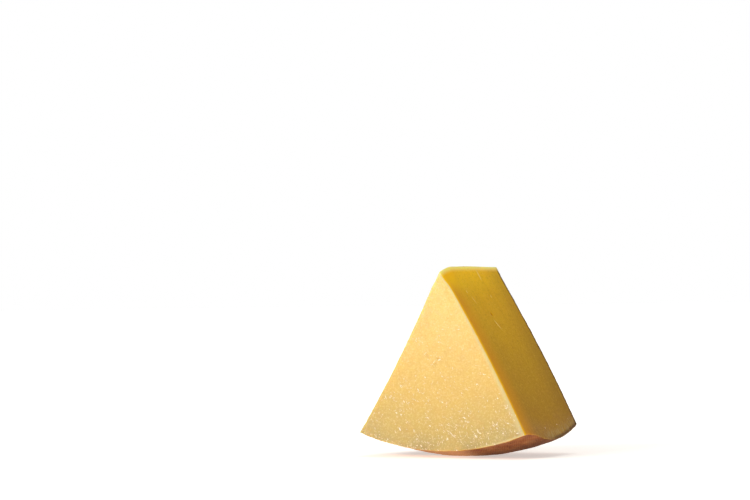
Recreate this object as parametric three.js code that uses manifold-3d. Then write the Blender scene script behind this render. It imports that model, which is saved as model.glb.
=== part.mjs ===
// A wedge cut from an aged cheese wheel, standing on its heel with the tip edge on top.
// Millimetres, +Z up. The front cut face looks along -Y and the wheel's own side is at +Y.

import * as THREE from 'three';
import { mergeVertices } from 'three/addons/utils/BufferGeometryUtils.js';
import Module from 'manifold-3d';

// Driving dimensions of the wedge
const cutLength = 152; // along a knife cut, from the tip to the heel's front corner
const wedgeAngle = 59.3; // degrees between the two knife cuts
const wedgeThickness = 97; // from the front cut face to the wheel's rind side
const rightBow = 2.6; // how far the right cut bulges out halfway along
const leftBow = 2.9; // how far the left cut is dished in halfway along
const tipRounding = 1.2; // how far from the tip the knife edge starts to be worn round

// Driving dimensions of the heel, which is a piece of the wheel's rim
const heelRadius = 211; // at the front face, flatter than the rim of a fresh wheel
const heelTaper = 4.7; // how much smaller that radius is at the back face
const heelBulge = 8.2; // how far the rim swells between its two edges
const hollowShare = 0.5; // share of the thickness over which the rim is drawn in at the front
const hollowStrength = 2.2; // how strongly it is drawn in there: 0 leaves a plain arch
const backEdgeRounding = 2.5; // on the edge between the heel and the rind side
const restFlatDepth = 0.6; // how much the cheese has flattened where it stands

// How finely the round stretches are divided
const wheelSteps = 300;
const heelSteps = 28;
const cutSteps = 24;
const roundingSteps = 4;

const clearOfWheel = 10; // how far the cutting shapes reach past the cheese

const wasm = await Module();
wasm.setup();

// A closed three.js geometry as a solid that can be cut
function toSolid(geometry) {
  geometry.deleteAttribute('normal');
  geometry.deleteAttribute('uv');
  const merged = mergeVertices(geometry);
  const corners = merged.index.array;
  const kept = [];
  for (let i = 0; i < corners.length; i += 3) {
    const [a, b, c] = [corners[i], corners[i + 1], corners[i + 2]];
    if (a !== b && b !== c && c !== a) {
      kept.push(a, b, c);
    }
  }
  return new wasm.Manifold(new wasm.Mesh({
    numProp: 3,
    vertProperties: new Float32Array(merged.attributes.position.array),
    triVerts: new Uint32Array(kept),
  }));
}

// The finished solid as a three.js geometry again
function toGeometry(solid) {
  const mesh = solid.getMesh();
  const geometry = new THREE.BufferGeometry();
  geometry.setAttribute('position', new THREE.BufferAttribute(mesh.vertProperties, 3));
  geometry.setIndex(new THREE.BufferAttribute(mesh.triVerts, 1));
  geometry.computeVertexNormals();
  return geometry;
}

// Radius of the rim at a share of the thickness, 0 at the front face and 1 at the back
function rimRadius(share) {
  const arch = Math.sin(Math.PI * share);
  const drawnIn = THREE.MathUtils.smoothstep(1 - share / hollowShare, 0, 1);
  const swell = heelBulge * arch ** (1 + hollowStrength * drawnIn);
  return heelRadius + swell - heelTaper * share;
}

// The wheel, turned about Y, with its front face at y = 0 and a rounded back edge
function makeWheel() {
  const lastShare = 1 - backEdgeRounding / wedgeThickness;
  const profile = [new THREE.Vector2(0, 0)];
  for (let i = 0; i <= heelSteps; i += 1) {
    const share = lastShare * i / heelSteps;
    profile.push(new THREE.Vector2(rimRadius(share), share * wedgeThickness));
  }
  const backEdge = new THREE.QuadraticBezierCurve(
    new THREE.Vector2(rimRadius(lastShare), lastShare * wedgeThickness),
    new THREE.Vector2(rimRadius(1), wedgeThickness),
    new THREE.Vector2(rimRadius(1) - backEdgeRounding, wedgeThickness),
  );
  profile.push(...backEdge.getPoints(roundingSteps).slice(1));
  profile.push(new THREE.Vector2(0, wedgeThickness));
  return new THREE.LatheGeometry(profile, wheelSteps);
}

// A point on a knife cut, seen from the front with the tip at the origin.
// side is 1 on the right and -1 on the left, and share is 1 at the heel's front corner.
function cutPoint(side, bow, share) {
  const halfAngle = THREE.MathUtils.degToRad(wedgeAngle / 2);
  const along = cutLength * share;
  return new THREE.Vector2(
    side * along * Math.sin(halfAngle) + 4 * bow * share * (1 - share),
    -along * Math.cos(halfAngle),
  );
}

// The outline between the two cuts, pushed through the whole thickness.
// It runs on past the heel, which the wheel itself closes.
function makeSector() {
  const tipShare = tipRounding / cutLength;
  const lastShare = 1.5;
  const tip = new THREE.QuadraticBezierCurve(
    cutPoint(-1, leftBow, tipShare),
    cutPoint(1, rightBow, 0),
    cutPoint(1, rightBow, tipShare),
  );
  const outline = tip.getPoints(roundingSteps);
  for (let i = 1; i <= cutSteps; i += 1) {
    const share = THREE.MathUtils.lerp(tipShare, lastShare, i / cutSteps);
    outline.push(cutPoint(1, rightBow, share));
    outline.unshift(cutPoint(-1, leftBow, share));
  }
  const sector = new THREE.ExtrudeGeometry(new THREE.Shape(outline), {
    depth: wedgeThickness + 2 * clearOfWheel,
    bevelEnabled: false,
  });
  sector.rotateX(Math.PI / 2);
  sector.translate(0, wedgeThickness + clearOfWheel, 0);
  return sector;
}

// A block that takes the rounding off the lowest part of the heel
function makeRestCut(lowest) {
  const width = 2 * cutLength;
  const block = new THREE.BoxGeometry(width, width, 2 * clearOfWheel);
  block.translate(0, wedgeThickness / 2, lowest + restFlatDepth - clearOfWheel);
  return block;
}

function makeWedge() {
  const halfChord = cutLength * Math.sin(THREE.MathUtils.degToRad(wedgeAngle / 2));
  const cornerDrop = cutLength * Math.cos(THREE.MathUtils.degToRad(wedgeAngle / 2));
  const wheel = makeWheel();
  wheel.translate(0, 0, Math.sqrt(heelRadius ** 2 - halfChord ** 2) - cornerDrop);
  const cut = toSolid(wheel).intersect(toSolid(makeSector()));
  const lowest = cut.boundingBox().min[2];
  const wedge = toGeometry(cut.subtract(toSolid(makeRestCut(lowest))));

  // The origin is under the middle of the wedge, on the surface that it stands on.
  wedge.computeBoundingBox();
  const box = wedge.boundingBox;
  wedge.translate(-(box.min.x + box.max.x) / 2, -(box.min.y + box.max.y) / 2, -box.min.z);
  return wedge;
}

// Firm yellow paste with a slight sheen of butterfat on the cut
const cheese = new THREE.MeshStandardMaterial({ color: 0xefc873, roughness: 0.6, metalness: 0 });

const wedgeMesh = new THREE.Mesh(makeWedge(), cheese);
wedgeMesh.name = 'cheese_wedge';

const cheeseWedge = new THREE.Group();
cheeseWedge.add(wedgeMesh);

export default cheeseWedge;
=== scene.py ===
import math
import random

import bmesh
import bpy
from mathutils import Matrix, Vector, noise
from mathutils.bvhtree import BVHTree


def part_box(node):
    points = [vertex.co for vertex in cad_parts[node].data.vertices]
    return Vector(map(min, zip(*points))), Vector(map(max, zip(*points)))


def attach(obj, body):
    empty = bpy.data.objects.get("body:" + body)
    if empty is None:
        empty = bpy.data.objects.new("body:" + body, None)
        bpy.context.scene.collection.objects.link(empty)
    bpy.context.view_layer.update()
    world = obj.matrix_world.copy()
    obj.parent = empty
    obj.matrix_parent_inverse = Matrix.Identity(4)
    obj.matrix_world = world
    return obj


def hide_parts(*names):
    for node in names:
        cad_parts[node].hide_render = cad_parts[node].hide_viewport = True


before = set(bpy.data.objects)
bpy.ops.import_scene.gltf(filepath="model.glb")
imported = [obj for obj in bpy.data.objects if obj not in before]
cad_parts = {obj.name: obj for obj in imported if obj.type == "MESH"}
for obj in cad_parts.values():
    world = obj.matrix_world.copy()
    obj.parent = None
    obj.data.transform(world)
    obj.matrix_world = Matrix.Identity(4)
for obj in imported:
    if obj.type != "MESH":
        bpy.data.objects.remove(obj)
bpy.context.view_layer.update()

# A wedge of aged hard cheese standing on its heel. Metres, in the part's own frame:
# the dry front face looks along -Y, the wheel's own side is at +Y and the tip is on top.

wedgeLow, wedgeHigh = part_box("cheese_wedge")
wedgeMiddle = (wedgeLow + wedgeHigh) / 2
mm = 0.001


def hexToLinear(hexColour):
    parts = [int(hexColour[i:i + 2], 16) / 255 for i in (1, 3, 5)]
    linear = [p / 12.92 if p <= 0.04045 else ((p + 0.055) / 1.055) ** 2.4 for p in parts]
    return (*linear, 1.0)


def easeBetween(value, start, end):
    # 0 at start, 1 at end, soft at both
    share = min(max((value - start) / (end - start), 0.0), 1.0)
    return share * share * (3 - 2 * share)


def ripple(place, size, seed):
    # smooth noise between -1 and 1 whose bumps are about size apart, in metres, and which each
    # seed takes from another place
    return noise.noise(place / size + Vector((seed * 17.3, seed * 5.9, seed * 11.1)))


def addToScene(name, mesh):
    piece = bpy.data.objects.new(name, mesh)
    bpy.context.collection.objects.link(piece)
    return piece


def addNode(tree, kind, settings=None, links=None):
    # settings are sockets or properties, and links are sockets fed by another node's output.
    # A Mix node has its share at 0, its numbers at 2 and 3, its colours at 6 and 7, and gives
    # the mixed number at 0 and the mixed colour at 2.
    node = tree.nodes.new(kind)
    for name, value in (settings or {}).items():
        if name == "stops":
            stops = node.color_ramp.elements
            while len(stops) < len(value):
                stops.new(0.5)      # it gets its real place below
            for stop, (position, colour) in zip(stops, value):
                stop.position = position
                stop.color = hexToLinear(colour)
        elif isinstance(name, int) or name in node.inputs:
            node.inputs[name].default_value = value
        else:
            setattr(node, name, value)
    for name, output in (links or {}).items():
        tree.links.new(output, node.inputs[name])
    return node


# camera, a long lens a few metres away

cameraSettings = {
    "azimuth": 29.97,      # degrees round to the right of the front face
    "elevation": -0.17,
    "roll": -0.64,
    "distance": 2.827,     # from the middle of the wedge
    "lens": 168,
    "wedgeAside": 0.0757,  # the wedge stands right of the view's middle
    "wedgeBelow": 0.0902,  # and low in it
}


def makeCamera(settings):
    azimuth = math.radians(settings["azimuth"])
    elevation = math.radians(settings["elevation"])
    forward = Vector((
        -math.sin(azimuth) * math.cos(elevation),
        math.cos(azimuth) * math.cos(elevation),
        -math.sin(elevation),
    ))
    level = Vector((math.cos(azimuth), math.sin(azimuth), 0))
    right = Matrix.Rotation(math.radians(-settings["roll"]), 3, forward) @ level
    up = right.cross(forward)
    place = wedgeMiddle - forward * settings["distance"]
    place += up * settings["wedgeBelow"] - right * settings["wedgeAside"]
    turned = Matrix((right, up, -forward)).transposed().to_4x4()
    camera = bpy.data.objects.new("camera", bpy.data.cameras.new("camera"))
    camera.data.lens = settings["lens"]
    camera.data.clip_end = 50
    camera.matrix_world = Matrix.Translation(place) @ turned
    bpy.context.collection.objects.link(camera)
    bpy.context.scene.camera = camera


makeCamera(cameraSettings)
print("camera placed")


# studio: white paper to the horizon, a soft key from front left, a soft light above

studioSettings = {
    "floorRadius": 9.0,
    "floorSides": 96,
    "floorGap": 0.05,        # mm under the wedge, so that the two never touch
    "floorColour": "#f6f3ef",
    "floorRoughness": 0.7,
    "glowNear": 0.56,        # the paper is lit from below, a little under the wedge
    "glowFar": 1.0,          # and more far away, so that it meets the white background
    "glowReach": (0.10, 0.9),    # metres from the middle between which the glow grows
    "ambient": 0.36,         # how strongly the white sky lights the wedge
    "key": {"place": (-0.9, -2.0, 1.15), "size": 0.9, "power": 27, "colour": "#fff6ea"},
    "top": {"place": (0.3, 0.0, 1.8), "size": 1.2, "power": 8, "colour": "#fffaf0"},
}


def makeAreaLight(name, settings):
    light = bpy.data.lights.new(name, "AREA")
    light.shape = "DISK"
    light.size = settings["size"]
    light.energy = settings["power"]
    light.color = hexToLinear(settings["colour"])[:3]
    lamp = bpy.data.objects.new(name, light)
    lamp.location = wedgeMiddle + Vector(settings["place"])
    towards = wedgeMiddle - lamp.location
    lamp.rotation_euler = towards.to_track_quat("-Z", "Y").to_euler()
    bpy.context.collection.objects.link(lamp)


def makeSky(settings):
    # the background shows white, and lights the wedge more softly than it shows
    world = bpy.data.worlds.new("studio")
    bpy.context.scene.world = world
    world.use_nodes = True
    tree = world.node_tree
    tree.nodes.clear()
    white = (1, 1, 1, 1)
    path = addNode(tree, "ShaderNodeLightPath")
    dim = addNode(tree, "ShaderNodeBackground", {"Color": white, "Strength": settings["ambient"]})
    shown = addNode(tree, "ShaderNodeBackground", {"Color": white, "Strength": 1.0})
    both = addNode(tree, "ShaderNodeMixShader", None, {
        0: path.outputs["Is Camera Ray"],
        1: dim.outputs["Background"],
        2: shown.outputs["Background"],
    })
    addNode(tree, "ShaderNodeOutputWorld", None, {"Surface": both.outputs["Shader"]})


def makeFloor(settings):
    mesh = bpy.data.meshes.new("floor")
    disc = bmesh.new()
    sides, radius = settings["floorSides"], settings["floorRadius"]
    bmesh.ops.create_circle(disc, cap_ends=True, segments=sides, radius=radius)
    disc.to_mesh(mesh)
    disc.free()
    floor = addToScene("floor", mesh)
    floor.location.z = wedgeLow.z - settings["floorGap"] * mm
    paper = bpy.data.materials.new("whiteSeamlessPaper")
    paper.use_nodes = True
    tree = paper.node_tree
    surface = tree.nodes["Principled BSDF"]
    surface.inputs["Base Color"].default_value = hexToLinear(settings["floorColour"])
    surface.inputs["Emission Color"].default_value = hexToLinear(settings["floorColour"])
    surface.inputs["Roughness"].default_value = settings["floorRoughness"]
    place = addNode(tree, "ShaderNodeTexCoord")
    away = addNode(tree, "ShaderNodeVectorMath", {"operation": "LENGTH"}, {0: place.outputs["Object"]})
    near, far = settings["glowReach"]
    glow = addNode(tree, "ShaderNodeMapRange", {
        "From Min": near,
        "From Max": far,
        "To Min": settings["glowNear"],
        "To Max": settings["glowFar"],
    }, {"Value": away.outputs["Value"]})
    tree.links.new(glow.outputs["Result"], surface.inputs["Emission Strength"])
    mesh.materials.append(paper)


makeSky(studioSettings)
makeFloor(studioSettings)
makeAreaLight("keyLight", studioSettings["key"])
makeAreaLight("topLight", studioSettings["top"])
bpy.context.scene.view_settings.view_transform = "Standard"
print("studio lit")


# the wedge's body

bodySettings = {
    "fineness": 0.92,       # mm between the points of its skin
    "edgeWear": 3,          # smoothing passes that take the sharpness off the edges
    "wearStrength": 0.5,    # how far each pass goes
    "zoneBlend": 0.4,       # mm to each side of an edge where two zones mix
    "frontWrap": 0.5,       # mm round its edges that the front's dry skin reaches
    # reliefs, each its height and then how large its bumps are, in mm
    "frontSwell": (0.30, 32),       # long waves over the front
    "frontGrain": (0.12, 5, 2.2),   # the crumb of the paste
    "cutSwell": (0.25, 45),
    "rindLump": (0.35, 11),         # the rind's dried bumps
    "rindCrumb": (0.15, 4, 2.2),
    "cutStreak": (0.03, 1.8, 45),   # what the blade dragged: height, mm across and mm along
    "edgeCrumble": 0.35,    # mm that crumbs have fallen from the edges
    "edgeReach": 2.2,       # mm in from an edge that crumbs are missing
    "crumbleShare": 0.35,   # 0 leaves half of each edge whole, and 1 nearly none of it
    "crumbleSize": (3.5, 9),    # mm, small gaps and the longer ones that they gather in
    "crownRise": 2.2,       # mm, the tip edge stands up in its front part
    "crownEnd": 1.3,        # mm, and less at its back end
    "crownFall": 0.4,       # share of the tip edge's length where it begins to sink
    "tipReach": 16,         # mm below the tip that the crown begins
    "chipDepth": 2.7,       # mm, the corner broken off the front of the tip edge
    "chipAside": 0.3,
    "chipLength": 19,       # mm along the tip edge
    "chipCurve": 1.6,       # how quickly the chip runs out along the edge
    # small holes, each a middle, the way it runs, half its length, half its width and its depth
    # in mm; a depth below 0 is a burr that the knife raised
    "nicks": [
        ((-11.0, -48.5, 81.9), (1, 0, -0.9), (1.6, 0.8, 0.5)),
        ((-1.6, -48.5, 79.6), (1, 0, -0.2), (1.5, 0.8, 0.6)),
        ((-3.6, -48.5, 75.6), (1, 0, 0.9), (1.4, 0.7, 0.5)),
        ((23.9, -4.6, 113.8), (0.4, 0.3, -1), (2.1, 1.0, 0.8)),
        ((14.6, 8.6, 129.0), (0.4, 0.3, -1), (1.2, 0.8, 0.4)),
        ((28.9, -4.0, 105.4), (0.45, 0.5, -0.8), (6.5, 0.7, -0.4)),
        ((7.4, 9.3, 145.8), (0.5, 0.1, -0.9), (5.0, 0.9, -0.5)),
        ((3.0, -8.0, 150.5), (0.5, 0.3, -0.9), (4.0, 0.8, -0.4)),
        ((14.0, -25.4, 132.9), (0.5, 0.1, -0.9), (1.6, 0.8, -0.45)),
        ((17.5, -21.0, 126.0), (0.5, 0.3, -0.8), (5.0, 0.7, -0.3)),
        ((15.6, 10.4, 128.0), (0.5, 0.1, -0.9), (1.6, 0.8, -0.4)),
        ((-31.0, 12.0, 96.0), (-0.5, 0, -1), (2.6, 0.9, 0.7)),
        ((-52.0, -20.0, 56.0), (-0.5, 0.2, -1), (3.5, 0.8, 0.5)),
    ],
}

# what time and handling left on the skin, and painted light and shade: two distances between which
# each mark comes or goes, in mm from the side in its name or, where that says across, to the right
# of the middle
markSettings = {
    "bloomFromHeel": (3, 17),       # a pale bloom on the cuts near the heel
    "bloomFromFront": (14, 48),
    "glowFromTip": (5, 24),       # painted glow of light through the thin tip, on the cuts at its front corner
    "glowFromFront": (8, 26),
    "highlightFromRight": 0.4,          # a painted highlight on the front along its right edge, full to here
    "highlightWidth": (2.2, 7),         # mm at the tip, and how much wider at the heel
    "highlightCurve": 1.5,              # how late it widens
    "rimHighlightShare": 0.8,           # and a weaker painted highlight along the rim
    "rimHighlightFromHeel": (0.8, 2.8),
    "rimHighlightAcross": (15, 55),
    "heelLightFromFront": (30, 50),      # painted light on the rim's front-left part
    "heelLightAcross": (-2, 30),
    "rimShadeFromFront": (12, 42),   # painted shade, a darker band along the rim's middle underneath
    "rimShadeFromBack": (4, 30),
    "edgeShadeFromFront": (25, 60),  # and a painted shade line where the cuts meet the rim
    "edgeShadeFromHeel": (0.5, 5),
    "crustFromBackEdge": (1.5, 5),  # where the paste dried hard beside the rind
}

# what is measured at each point of the skin, for the material: distances in mm, then shares
measureNames = ("frontDepth", "heelDepth", "backDepth", "backEdge", "tipDepth", "nick",
                "frontShare", "rindShare", "crust", "bloom", "bright", "dried", "pale", "soiled")


def faceZones(mesh):
    # the wedge's five sides, told apart by which way the solid's faces look
    squareOn, upward = 0.99, 0.2
    zones = {"front": [], "back": [], "right": [], "left": [], "heel": []}
    for face in mesh.polygons:
        if face.normal.y < -squareOn:
            zone = "front"
        elif face.normal.y > squareOn:
            zone = "back"
        elif face.normal.z > upward:
            zone = "right" if face.normal.x > 0 else "left"
        else:
            zone = "heel"
        zones[zone].append(tuple(face.vertices))
    corners = [v.co.copy() for v in mesh.vertices]
    return {zone: BVHTree.FromPolygons(corners, faces) for zone, faces in zones.items()}


def softenedCopy(solid, settings):
    rough = addToScene("rough", solid.data.copy())
    remesh = rough.modifiers.new("skin", "REMESH")
    remesh.mode = "VOXEL"
    remesh.voxel_size = settings["fineness"] * mm
    wear = rough.modifiers.new("wear", "SMOOTH")
    wear.factor = settings["wearStrength"]
    wear.iterations = settings["edgeWear"]
    made = rough.evaluated_get(bpy.context.evaluated_depsgraph_get())
    mesh = bpy.data.meshes.new_from_object(made)
    bpy.data.objects.remove(rough)
    return mesh


def zoneDepths(place, zones):
    # how far the place is from each side, from the back edge of the cuts and from the tip, in mm
    depth = {zone: tree.find_nearest(place)[3] / mm for zone, tree in zones.items()}
    depth["cut"] = min(depth["right"], depth["left"])
    depth["rind"] = min(depth["heel"], depth["back"])
    depth["backEdge"] = max(depth["cut"], depth["back"])
    depth["tip"] = (wedgeHigh.z - place.z) / mm
    return depth


def zoneShares(depth, settings):
    # how much of the place is front, rind and cut, which add up to 1
    blend = settings["zoneBlend"]
    wrapped = depth["front"] - settings["frontWrap"]
    front = easeBetween(min(depth["cut"], depth["rind"]) - wrapped, -blend, blend)
    rind = easeBetween(min(depth["cut"], wrapped) - depth["rind"], -blend, blend)
    return {"front": front, "rind": rind, "cut": max(0.0, 1 - front - rind)}


def reliefHeight(place, relief, seed):
    # one relief's height at the place in mm, with noise of its own for each size
    height, *sizes = relief
    return height * sum(ripple(place, size * mm, seed + i) for i, size in enumerate(sizes))


def skinRelief(place, depth, share, settings):
    # each side's own relief, in mm along the surface's normal
    front = reliefHeight(place, settings["frontSwell"], 1)
    front += reliefHeight(place, settings["frontGrain"], 2)
    streakHeight, across, along = settings["cutStreak"]
    drawn = Vector((place.y / across, depth["heel"] * mm / along, 0))
    cut = reliefHeight(place, settings["cutSwell"], 4)
    cut += streakHeight * ripple(drawn, mm, 5)
    rind = reliefHeight(place, settings["rindLump"], 6)
    rind += reliefHeight(place, settings["rindCrumb"], 7)
    height = share["front"] * front + share["cut"] * cut + share["rind"] * rind

    # crumbs are missing where two sides meet, so the second nearest side is near too
    second = sorted((depth["front"], depth["cut"], depth["heel"], depth["back"]))[1]
    edge = 1 - easeBetween(second, 0.0, settings["edgeReach"])
    fine, coarse = (size * mm for size in settings["crumbleSize"])
    loss = settings["crumbleShare"] + ripple(place, fine, 9) + ripple(place, coarse, 10) / 2
    return height - settings["edgeCrumble"] * edge * max(0.0, loss)


def tipShift(place, depth, settings):
    # the tip edge is crowned along its length, and its front corner is broken down
    fromFront = (place.y - wedgeLow.y) / mm
    length = (wedgeHigh.y - wedgeLow.y) / mm
    nearTip = 1 - easeBetween(depth["tip"], 0, settings["tipReach"])
    fall = easeBetween(fromFront, settings["crownFall"] * length, length)
    crown = settings["crownRise"] + (settings["crownEnd"] - settings["crownRise"]) * fall
    chip = max(0.0, 1 - fromFront / settings["chipLength"]) ** settings["chipCurve"]
    rise = crown * nearTip ** 2 - (settings["chipDepth"] + crown) * chip * nearTip
    return Vector((-settings["chipAside"] * chip * nearTip, 0, rise)) * mm


def settleNicks(mesh, settings):
    # each nick's middle on the skin itself
    skin = BVHTree.FromPolygons([v.co for v in mesh.vertices], [f.vertices for f in mesh.polygons])
    settled = []
    for middle, along, size in settings["nicks"]:
        settled.append((skin.find_nearest(Vector(middle) * mm)[0], Vector(along).normalized(), size))
    return settled


def nickDepth(place, nicks):
    # how deep the place lies in a nick, in mm, or below 0 how high on a burr
    rim, floor = 1.25, 0.3      # where a nick starts and is deepest, in half lengths or widths
    deepest = 0.0
    for middle, way, (halfLength, halfWidth, depth) in nicks:
        apart = place - middle
        if apart.length > rim * halfLength * mm:
            continue
        run = apart.dot(way) / mm / halfLength
        aside = (apart - way * apart.dot(way)).length / mm / halfWidth
        here = depth * (1 - easeBetween(math.hypot(run, aside), floor, rim))
        deepest = max(deepest, here, key=abs)
    return deepest


def skinMarks(place, depth, share, settings):
    # shares of 0 to 1 for what time and handling left on the cheese, and for painted light and shade
    across = place.x / mm
    marks = {}
    nearHeel = 1 - easeBetween(depth["heel"], *settings["bloomFromHeel"])
    marks["bloom"] = nearHeel * easeBetween(depth["front"], *settings["bloomFromFront"])
    # painted glow on the cuts near the front corner of the tip, where light comes through
    nearTip = 1 - easeBetween(depth["tip"], *settings["glowFromTip"])
    marks["bright"] = nearTip * (1 - easeBetween(depth["front"], *settings["glowFromFront"]))

    # the painted highlight along the front's right edge widens downwards
    narrow, growth = settings["highlightWidth"]
    highlightReach = narrow + growth * (depth["tip"] * mm / wedgeHigh.z) ** settings["highlightCurve"]
    edgeHighlight = 1 - easeBetween(depth["right"], settings["highlightFromRight"], highlightReach)
    rimHighlight = 1 - easeBetween(depth["heel"], *settings["rimHighlightFromHeel"])
    rimHighlight *= easeBetween(across, *settings["rimHighlightAcross"])
    marks["dried"] = max(edgeHighlight, settings["rimHighlightShare"] * rimHighlight)

    # painted light on the rim's front-left part, and painted shade under the rim's middle and along the
    # cuts' lower edge
    litFront = 1 - easeBetween(depth["front"], *settings["heelLightFromFront"])
    marks["pale"] = litFront * (1 - easeBetween(across, *settings["heelLightAcross"]))
    rimShade = easeBetween(depth["front"], *settings["rimShadeFromFront"])
    rimShade *= easeBetween(depth["back"], *settings["rimShadeFromBack"])
    edgeShade = easeBetween(depth["front"], *settings["edgeShadeFromFront"])
    edgeShade *= 1 - easeBetween(depth["heel"], *settings["edgeShadeFromHeel"])
    marks["soiled"] = share["rind"] * rimShade + (1 - share["rind"]) * edgeShade

    # light sinks less into the rind and into the paste that dried beside its back edge
    dryEdge = 1 - easeBetween(depth["backEdge"], *settings["crustFromBackEdge"])
    marks["crust"] = max(share["rind"], dryEdge)
    return marks


def makeBody(settings, marks):
    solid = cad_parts["cheese_wedge"]
    zones = faceZones(solid.data)
    mesh = softenedCopy(solid, settings)
    mesh.name = "wedge_body"
    nicks = settleNicks(mesh, settings)
    print("skin has", len(mesh.vertices), "points")

    measured = {name: [] for name in measureNames}
    moved = []
    for vertex in mesh.vertices:
        place = vertex.co
        depth = zoneDepths(place, zones)
        share = zoneShares(depth, settings)
        nick = nickDepth(place, nicks)
        height = skinRelief(place, depth, share, settings) - nick
        moved.append(place + vertex.normal * height * mm + tipShift(place, depth, settings))
        here = {
            "frontDepth": depth["front"],
            "heelDepth": depth["heel"],
            "backDepth": depth["back"],
            "backEdge": depth["backEdge"],
            "tipDepth": depth["tip"],
            "nick": nick,
            "frontShare": share["front"],
            "rindShare": share["rind"],
            **skinMarks(place, depth, share, marks),
        }
        for name in measureNames:
            measured[name].append(here[name])

    for vertex, place in zip(mesh.vertices, moved):
        vertex.co = place
    for name, values in measured.items():
        mesh.attributes.new(name, "FLOAT", "POINT").data.foreach_set("value", values)
    mesh.shade_smooth()
    body = addToScene("wedge_body", mesh)
    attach(body, "root")
    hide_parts("cheese_wedge")
    return body


body = makeBody(bodySettings, markSettings)
print("body shaped")


# its crystals, the hard white grains that a long ripening leaves

crystalSettings = {
    "seed": 23,
    "counts": {"front": 380, "right": 3, "left": 5},    # how many on each side
    "length": (0.9, 2.5),      # mm, the least and the most
    "width": (0.35, 0.65),
    "thickness": (0.35, 0.55),
    "raggedness": (0.75, 1.15),    # how far out a grain's corners are, as a share of its size
    "lean": (-55, 28),         # degrees from level, and how much it varies
    "sunk": 0.05,              # mm that a grain's middle lies under the surface
    "crowding": (0.10, 0.62),  # shares of the height between which they thin out
    "fewest": 0.06,            # the share of them that is left above that
    "patchSize": 14,           # mm across the patches where they gather
    "patchiness": (0.5, 1.4),  # the mean chance, and how far it rises in a patch
    "castFrom": 200,           # mm out from the middle, clear of the wedge
    "facing": 0.8,             # the least share of a spot's normal that points straight out
    # round each large one: how many small ones, mm how far, and their length and width in mm
    "crumbs": {"count": 3, "spread": 2.2, "length": (0.6, 1.4), "width": (0.4, 0.7)},
    # the largest on the front: how far right and how high, length and width in mm, and lean
    "large": [
        (-12.8, 83.6, 3.9, 1.0, 44), (-0.2, 78.4, 3.2, 1.1, 20), (-4.8, 77.0, 3.9, 1.0, 46),
        (2.9, 102.7, 2.2, 1.1, 3), (-0.6, 92.5, 1.8, 1.0, 15), (16.8, 102.5, 3.9, 0.8, 2),
        (-20.9, 95.1, 2.0, 1.0, 60), (-50.0, 48.4, 2.9, 1.1, -65), (-33.1, 44.9, 2.8, 1.1, -60),
        (-20.1, 54.6, 2.5, 1.0, -55), (2.0, 44.6, 2.2, 1.2, -35), (23.3, 55.3, 2.2, 1.0, -45),
        (-40.2, 35.7, 2.3, 1.1, -30), (-35.9, 34.5, 2.5, 1.0, -25), (21.8, 32.4, 3.4, 1.2, -45),
        (-11.2, 32.1, 2.2, 1.1, -32), (6.3, 15.4, 2.3, 1.3, -40), (9.6, 20.0, 3.9, 0.7, -42),
        (12.4, 17.4, 3.4, 0.7, -40), (-24.0, 21.7, 2.4, 1.1, -62), (-37.0, 22.6, 4.3, 1.2, -58),
        (-40.9, 20.1, 2.6, 1.1, -50), (-31.1, 27.9, 2.2, 1.1, -35), (14.7, 26.7, 2.8, 1.2, -25),
        (-9.5, 25.7, 2.8, 1.1, -34), (31.9, 18.0, 3.2, 1.3, -58), (33.6, 22.6, 4.1, 1.4, -68),
        (35.7, 20.5, 3.2, 1.3, -10), (43.0, 20.4, 3.2, 1.3, 34), (39.4, 67.1, 2.3, 1.0, -34),
        (33.5, 59.2, 2.1, 1.0, 12), (47.4, 29.2, 3.1, 1.4, -48), (51.0, 24.5, 2.3, 1.2, -50),
        (50.9, 27.6, 1.8, 1.1, -40), (56.6, 20.8, 1.8, 1.1, -40), (60.8, 28.5, 2.3, 1.1, -25),
        (52.0, 48.3, 1.8, 1.1, -50), (69.0, 20.8, 3.0, 1.0, 16), (-17.8, 9.8, 3.1, 1.1, -42),
    ],
}

# for each side, the way that it faces and what is level on it
sideWays = {
    "front": (Vector((0, -1, 0)), Vector((1, 0, 0))),
    "right": (Vector((1, 0, 0)), Vector((0, 1, 0))),
    "left": (Vector((-1, 0, 0)), Vector((0, 1, 0))),
}


def crystalChance(place, settings):
    # they crowd towards the heel, in patches
    rise = (place.z - wedgeLow.z) / (wedgeHigh.z - wedgeLow.z)
    fewest = settings["fewest"]
    low = fewest + (1 - fewest) * (1 - easeBetween(rise, *settings["crowding"]))
    middle, difference = settings["patchiness"]
    return low * (middle + difference * ripple(place, settings["patchSize"] * mm, 31))


def findSpot(tree, side, across, up, settings):
    # where a line straight at that side meets the cheese, unless that is on another side
    outward, level = sideWays[side]
    start = outward * settings["castFrom"] * mm + level * across * mm + Vector((0, 0, up * mm))
    place, normal, _, _ = tree.ray_cast(start, -outward)
    if place is None or normal.dot(outward) < settings["facing"]:
        return None
    return place, normal


def addCrystal(grains, spot, side, size, lean, settings, rng):
    place, normal = spot
    level = sideWays[side][1]
    along = level * math.cos(math.radians(lean)) + Vector((0, 0, math.sin(math.radians(lean))))
    along = (along - along.project(normal)).normalized()
    turn = Matrix((along, normal.cross(along), normal)).transposed().to_4x4()
    middle = place - normal * settings["sunk"] * mm
    shape = Matrix.Translation(middle) @ turn @ Matrix.Diagonal((*(Vector(size) * mm / 2), 1))
    for corner in bmesh.ops.create_icosphere(grains, subdivisions=1, radius=1.0)["verts"]:
        corner.co = shape @ (corner.co * rng.uniform(*settings["raggedness"]))


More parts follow.
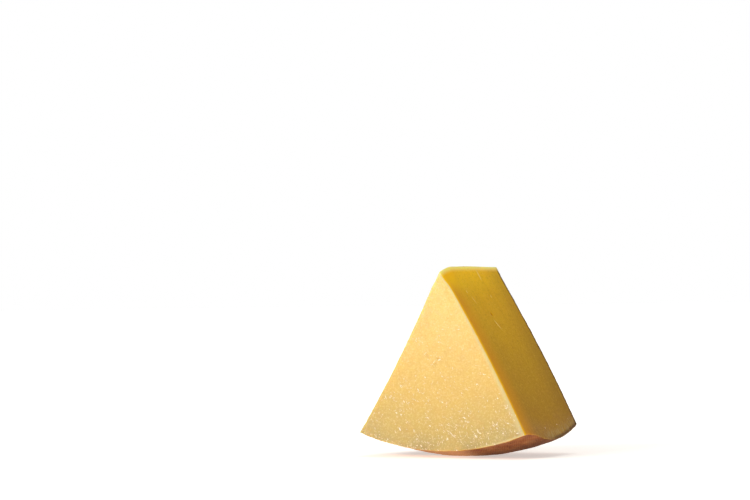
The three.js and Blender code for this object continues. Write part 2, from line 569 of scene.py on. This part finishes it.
def scatterCrystals(grains, tree, side, settings, rng):
    level = sideWays[side][1]
    reach = abs((wedgeHigh - wedgeLow).dot(level)) / 2 / mm
    missing = settings["counts"][side]
    while missing > 0:
        across = rng.uniform(-reach, reach)
        up = rng.uniform(0, wedgeHigh.z / mm)
        spot = findSpot(tree, side, across, up, settings)
        if spot is None or rng.random() > crystalChance(spot[0], settings):
            continue
        size = [rng.uniform(*settings[name]) for name in ("length", "width", "thickness")]
        addCrystal(grains, spot, side, size, rng.gauss(*settings["lean"]), settings, rng)
        missing -= 1


def clusterCrystals(grains, tree, large, settings, rng):
    # a large grain and the small ones round it
    across, up = large[:2]
    crumbs = settings["crumbs"]
    around = [large]
    for _ in range(crumbs["count"]):
        around.append((
            across + rng.gauss(0, crumbs["spread"]),
            up + rng.gauss(0, crumbs["spread"]),
            rng.uniform(*crumbs["length"]),
            rng.uniform(*crumbs["width"]),
            rng.gauss(*settings["lean"]),
        ))
    for across, up, length, width, lean in around:
        spot = findSpot(tree, "front", across, up, settings)
        if spot:
            size = (length, width, settings["thickness"][1])
            addCrystal(grains, spot, "front", size, lean, settings, rng)


def makeCrystals(body, settings):
    rng = random.Random(settings["seed"])
    tree = BVHTree.FromObject(body, bpy.context.evaluated_depsgraph_get())
    grains = bmesh.new()
    for side in settings["counts"]:
        scatterCrystals(grains, tree, side, settings, rng)
    for large in settings["large"]:
        clusterCrystals(grains, tree, large, settings, rng)
    mesh = bpy.data.meshes.new("crystals")
    grains.to_mesh(mesh)
    grains.free()
    crystals = addToScene("crystals", mesh)
    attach(crystals, "root")
    return crystals


crystals = makeCrystals(body, crystalSettings)
print("crystals set:", len(crystals.data.polygons), "faces")


# cow's milk cheese, cooked, pressed in a cloth, brined and aged: its knife cuts are deep yellow
# and waxy, the front has dried pale and matt, and the rind is dull brown with the cloth's print

cheeseSettings = {
    # the patterns: size in mm, then the noise's detail and roughness
    "patterns": {
        "waves": (14, 2, 0.5),
        "patches": (9, 4, 0.6),
        "flecks": (2.6, 3, 0.7),
        "crumb": (1.3, 2, 0.6),
        "scabs": (8, 4, 0.55),
        "pores": (1.6, 3, 0.6),
    },
    # what the knife dragged from the tip to the heel: mm across, mm along, detail and roughness
    "dragged": {"streaks": (1.3, 45, 3, 0.6), "hatch": (1.6, 8, 3, 0.6)},
    "ridges": (0.35, 0.65),     # how strong the hatch is where bloom begins to lie, and is full
    "weavePitch": 1.8,          # mm between the threads of the cloth that marked the rind,
                                # about twice the real one so that it shows
    "weaveBend": 3.0,           # how far the threads wander
    "weaveDetail": 2.0,
    "unevenness": 16,           # mm from lowest to highest that the waves shift a height's colour
    # each zone's colours by one measure, then layers: a measure, where it starts and is fullest,
    # its greatest share, and its colour
    "front": {
        # darker and greyer towards the heel: partly the paste's own colour, partly painted shade
        "base": ("height", [(0, "#b09d6f"), (4, "#c6b178"), (14, "#d2b874"), (45, "#e3c376"),
                            (100, "#f0d187"), (152, "#f5d78b")]),
        "layers": [
            ("patches", 0.45, 0.75, 0.30, "#dbb56c"),
            ("flecks", 0.50, 0.25, 0.12, "#d9a95c"),
            ("flecks", 0.50, 0.75, 0.18, "#f9e4ac"),
            ("crumb", 0.48, 0.75, 0.38, "#fbebbc"),
            ("crumb", 0.48, 0.25, 0.20, "#d0a35c"),
            # painted highlight along the front's right edge and along the rim
            ("dried", 0.0, 1.0, 0.60, "#e0d3a6"),
            # painted highlight along the tip edge
            ("tipDepth", 6, 1, 0.50, "#fbe9aa"),
            # painted shade in the nicks
            ("nick", 0.1, 0.6, 0.70, "#dfa044"),
        ],
    },
    "cut": {
        # deep yellow at the tip and browner towards the heel: partly the paste's own colour, partly
        # painted light at the tip and painted shade lower down
        "base": ("height", [(0, "#a07638"), (6, "#ac7e34"), (20, "#b0821a"), (70, "#c2930e"),
                            (120, "#e0ab06"), (152, "#fed00a")]),
        "layers": [
            ("streaks", 0.50, 0.80, 0.18, "#e2bb40"),
            ("streaks", 0.50, 0.25, 0.16, "#9a6c10"),
            ("flecks", 0.50, 0.25, 0.25, "#96690c"),
            ("flecks", 0.50, 0.75, 0.22, "#deb648"),
            ("crumb", 0.50, 0.25, 0.20, "#946a12"),
            ("crumb", 0.50, 0.75, 0.22, "#e2bc4c"),
            ("bloomed", 0.2, 0.8, 0.60, "#b8a26a"),
            # painted glow of light through the front's edge, orange and then yellow towards the ridge
            ("frontDepth", 26, 2.0, 0.70, "#de9606"),
            ("frontDepth", 5.0, 0.8, 0.80, "#f6c200"),
            ("backDepth", 32, 4.0, 0.25, "#785514"),
            # painted glow of light through the thin tip
            ("bright", 0.0, 1.0, 0.60, "#fed00a"),
            # painted shade along the cuts' lower edge
            ("soiled", 0.0, 1.0, 0.90, "#5a4020"),
            ("backEdge", 4.6, 1.6, 0.88, "#40260a"),
            # painted highlight along the tip edge
            ("tipDepth", 4.6, 0.4, 0.90, "#ffe88c"),
            # painted shade in the nicks
            ("nick", 0.1, 0.5, 0.80, "#bc700e"),
            ("nick", -0.03, -0.3, 0.65, "#f6da78"),
        ],
    },
    "rind": {
        "base": ("scabs", [(0.28, "#723a1e"), (0.50, "#8e502a"), (0.74, "#aa6a38")]),
        "layers": [
            ("waves", 0.50, 0.72, 0.45, "#b8834f"),
            ("pores", 0.50, 0.75, 0.30, "#bd8c5e"),
            ("pores", 0.48, 0.25, 0.35, "#55301a"),
            ("weave", 0.2, 0.9, 0.25, "#b87c4c"),
            # painted shade under the rim's middle
            ("soiled", 0.0, 1.0, 0.65, "#52301a"),
            # painted light on the rim's front-left part
            ("pale", 0.0, 1.0, 0.70, "#d8a676"),
            ("frontDepth", 2.5, 0.5, 0.50, "#d07c38"),
            ("backEdge", 3.0, 0.6, 0.80, "#341e0c"),
        ],
    },
    "roughness": {"cut": 0.5, "front": 0.75, "rind": 0.85},
    "ior": 1.45,                # butterfat's
    "specular": 0.2,            # under the usual 0.5, because a crumbly paste shines little
    # relief too fine for the mesh: a pattern, the zone that it keeps to and its share of the depth
    "bumps": [("streaks", None, 0.12), ("crumb", "frontShare", 1.0), ("pores", "rindShare", 0.8),
              ("weave", "rindShare", 0.8)],
    "bumpDepth": 0.35,          # mm
    "bumpStrength": 0.6,
    "sinkDepth": 7,             # mm that red light travels in the paste
    "sinkColour": (1.0, 0.8, 0.25),    # how far red, green and blue go, as shares of that
    "sinkShare": {"paste": 0.9, "rind": 0.15},    # how much of the light sinks in
}


def addPatterns(tree, measures, place, settings):
    for name, (size, detail, roughness) in settings["patterns"].items():
        pattern = addNode(tree, "ShaderNodeTexNoise", {
            "Scale": 1 / (size * mm),
            "Detail": detail,
            "Roughness": roughness,
        }, {"Vector": place})
        measures[name] = pattern.outputs["Fac"]


def addKnifeMarks(tree, measures, place, settings):
    # noise drawn out from the tip to the heel, the way that the knife went
    parts = addNode(tree, "ShaderNodeSeparateXYZ", None, {"Vector": place})
    for name, (across, along, detail, roughness) in settings["dragged"].items():
        thin = addNode(tree, "ShaderNodeMath", {"operation": "MULTIPLY", 1: 1 / (across * mm)},
                       {0: parts.outputs["Y"]})
        long = addNode(tree, "ShaderNodeMath", {"operation": "MULTIPLY", 1: 1 / along},
                       {0: measures["heelDepth"]})
        drawn = addNode(tree, "ShaderNodeCombineXYZ", None, {"X": thin.outputs[0], "Y": long.outputs[0]})
        pattern = addNode(tree, "ShaderNodeTexNoise", {
            "Scale": 1.0,
            "Detail": detail,
            "Roughness": roughness,
        }, {"Vector": drawn.outputs[0]})
        measures[name] = pattern.outputs["Fac"]

    # the bloom lies in the ridges of the finer marks
    low, high = settings["ridges"]
    ridges = addNode(tree, "ShaderNodeMapRange", {"From Min": low, "From Max": high},
                     {"Value": measures["hatch"]})
    bloomed = addNode(tree, "ShaderNodeMath", {"operation": "MULTIPLY"},
                      {0: measures["bloom"], 1: ridges.outputs["Result"]})
    measures["bloomed"] = bloomed.outputs[0]


def addWeave(tree, measures, place, settings):
    # diagonal ribs: the wave is the sine of ten times x + y + z times its scale, and the ribs
    # are their pitch apart on a face along which two of the three change
    weave = addNode(tree, "ShaderNodeTexWave", {
        "bands_direction": "DIAGONAL",
        "Scale": math.tau / (10 * math.sqrt(2) * settings["weavePitch"] * mm),
        "Distortion": settings["weaveBend"],
        "Detail": settings["weaveDetail"],
    }, {"Vector": place})
    measures["weave"] = weave.outputs["Fac"]


def addHeight(tree, measures, settings):
    # the distance from the heel, made uneven by the long waves
    most = settings["unevenness"]
    raised = addNode(tree, "ShaderNodeMath", {"operation": "MULTIPLY_ADD", 1: most},
                     {0: measures["waves"], 2: measures["heelDepth"]})
    height = addNode(tree, "ShaderNodeMath", {"operation": "SUBTRACT", 1: most / 2},
                     {0: raised.outputs[0]})
    measures["height"] = height.outputs[0]


def colourZone(tree, measures, zone):
    # a ramp of colours by one measure, with the layers over it in their order
    measure, stops = zone["base"]
    low, high = stops[0][0], stops[-1][0]
    share = addNode(tree, "ShaderNodeMapRange", {"From Min": low, "From Max": high},
                    {"Value": measures[measure]})
    ramp = addNode(tree, "ShaderNodeValToRGB",
                   {"stops": [((at - low) / (high - low), colour) for at, colour in stops]},
                   {"Fac": share.outputs["Result"]})
    painted = ramp.outputs["Color"]
    for measure, start, full, most, colour in zone["layers"]:
        share = addNode(tree, "ShaderNodeMapRange", {
            "interpolation_type": "SMOOTHSTEP",
            "From Min": start,
            "From Max": full,
            "To Max": most,
        }, {"Value": measures[measure]})
        over = addNode(tree, "ShaderNodeMix", {"data_type": "RGBA", 7: hexToLinear(colour)},
                       {0: share.outputs["Result"], 6: painted})
        painted = over.outputs[2]
    return painted


def raiseRelief(tree, measures, settings):
    # the bumps added up
    relief = None
    for pattern, zone, share in settings["bumps"]:
        height = addNode(tree, "ShaderNodeMath", {"operation": "MULTIPLY", 1: share},
                         {0: measures[pattern]})
        if zone:
            height = addNode(tree, "ShaderNodeMath", {"operation": "MULTIPLY"},
                             {0: height.outputs[0], 1: measures[zone]})
        if relief:
            height = addNode(tree, "ShaderNodeMath", {"operation": "ADD"},
                             {0: height.outputs[0], 1: relief.outputs[0]})
        relief = height
    depth = settings["bumpDepth"] * mm
    bump = addNode(tree, "ShaderNodeBump", {"Strength": settings["bumpStrength"], "Distance": depth},
                   {"Height": relief.outputs[0]})
    return bump.outputs["Normal"]


def makeCheese(settings):
    cheese = bpy.data.materials.new("agedHardCheese")
    cheese.use_nodes = True
    tree = cheese.node_tree
    surface = tree.nodes["Principled BSDF"]
    place = addNode(tree, "ShaderNodeTexCoord").outputs["Object"]
    measures = {}
    for name in measureNames:
        measures[name] = addNode(tree, "ShaderNodeAttribute", {"attribute_name": name}).outputs["Fac"]
    addPatterns(tree, measures, place, settings)
    addKnifeMarks(tree, measures, place, settings)
    addWeave(tree, measures, place, settings)
    addHeight(tree, measures, settings)

    front, cut, rind = (colourZone(tree, measures, settings[name]) for name in ("front", "cut", "rind"))
    paste = addNode(tree, "ShaderNodeMix", {"data_type": "RGBA"},
                    {0: measures["frontShare"], 6: cut, 7: front})
    whole = addNode(tree, "ShaderNodeMix", {"data_type": "RGBA"},
                    {0: measures["rindShare"], 6: paste.outputs[2], 7: rind})
    tree.links.new(whole.outputs[2], surface.inputs["Base Color"])

    # the fresh cuts are waxy, the dried front is duller and the rind is dull
    dull = settings["roughness"]
    waxy = addNode(tree, "ShaderNodeMapRange", {"To Min": dull["cut"], "To Max": dull["front"]},
                   {"Value": measures["frontShare"]})
    rough = addNode(tree, "ShaderNodeMix", {3: dull["rind"]},
                    {0: measures["rindShare"], 2: waxy.outputs["Result"]})
    tree.links.new(rough.outputs[0], surface.inputs["Roughness"])
    surface.inputs["IOR"].default_value = settings["ior"]
    surface.inputs["Specular IOR Level"].default_value = settings["specular"]
    tree.links.new(raiseRelief(tree, measures, settings), surface.inputs["Normal"])

    # light sinks several millimetres into the paste and comes back warm
    sunk = settings["sinkShare"]
    sink = addNode(tree, "ShaderNodeMapRange", {"To Min": sunk["paste"], "To Max": sunk["rind"]},
                   {"Value": measures["crust"]})
    tree.links.new(sink.outputs["Result"], surface.inputs["Subsurface Weight"])
    surface.inputs["Subsurface Scale"].default_value = settings["sinkDepth"] * mm
    surface.inputs["Subsurface Radius"].default_value = settings["sinkColour"]
    return cheese


# tyrosine, an amino acid that gathers in white grains, cloudy and slightly glossy where it broke

tyrosineSettings = {
    "cloud": 5,                 # mm, so that one grain is whiter than the next
    "colours": [(0.36, "#f4dea4"), (0.54, "#fff7e2")],
    "roughness": 0.45,
}


def makeTyrosine(settings):
    white = bpy.data.materials.new("tyrosineCrystal")
    white.use_nodes = True
    tree = white.node_tree
    surface = tree.nodes["Principled BSDF"]
    place = addNode(tree, "ShaderNodeTexCoord").outputs["Object"]
    cloudy = addNode(tree, "ShaderNodeTexNoise", {"Scale": 1 / (settings["cloud"] * mm), "Detail": 2.0},
                     {"Vector": place})
    ramp = addNode(tree, "ShaderNodeValToRGB", {"stops": settings["colours"]},
                   {"Fac": cloudy.outputs["Fac"]})
    tree.links.new(ramp.outputs["Color"], surface.inputs["Base Color"])
    surface.inputs["Roughness"].default_value = settings["roughness"]
    return white


body.data.materials.clear()
body.data.materials.append(makeCheese(cheeseSettings))
crystals.data.materials.append(makeTyrosine(tyrosineSettings))
print("cheese coloured")
